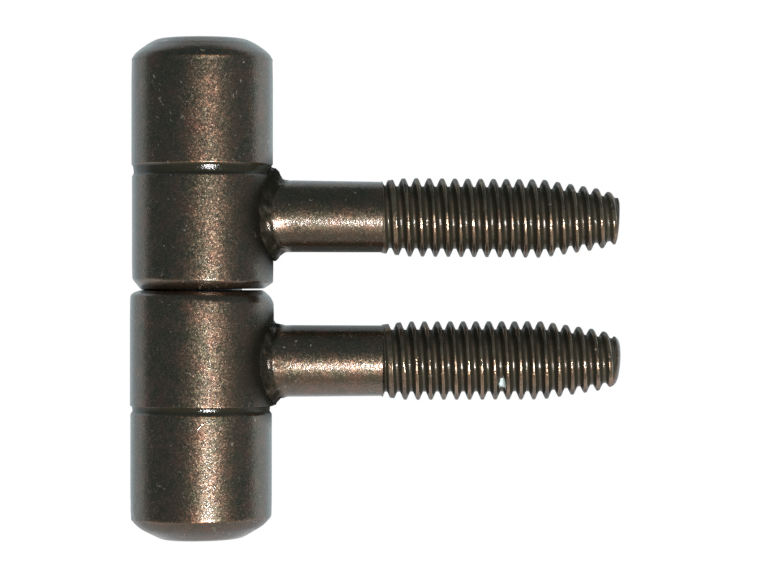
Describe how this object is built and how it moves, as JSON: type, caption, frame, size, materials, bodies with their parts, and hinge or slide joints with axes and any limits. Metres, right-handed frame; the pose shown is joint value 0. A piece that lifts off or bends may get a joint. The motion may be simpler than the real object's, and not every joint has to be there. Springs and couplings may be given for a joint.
{
  "type": "drill-in barrel hinge",
  "caption": "Lift-off door hinge: domed, grooved barrels turning on a pressed pin, each with a tapered screw-in stem welded to its side, in dark bronzed steel.",
  "frame": {"origin": "on the frame stem's axis, at the point where its thread reaches full diameter", "axes": "+X along the stems, away from the barrels; +Z along the pin, from the frame half to the door half; +Y completes the set"},
  "size_m": [0.0485, 0.014, 0.0499],
  "materials": {
    "bronzed_barrel": "steel, bronze plated and lacquered dark brown, satin with fine sparkle",
    "bronzed_stem": "rolled and welded steel, bronze plated and lacquered dark brown",
    "pin_steel": "bare ground steel"
  },
  "bodies": {
    "frame_half": {"frame_barrel": "bronzed_barrel", "frame_stem": "bronzed_stem", "pin": "pin_steel"},
    "door_half": {"door_barrel": "bronzed_barrel", "door_stem": "bronzed_stem"}
  },
  "joints": [
    {"name": "door_swing", "type": "hinge", "parent": "frame_half", "child": "door_half", "pos_m": [-0.01925, 0, 0.00713], "axis": [0, 0, 1], "continuous": true}
  ]
}
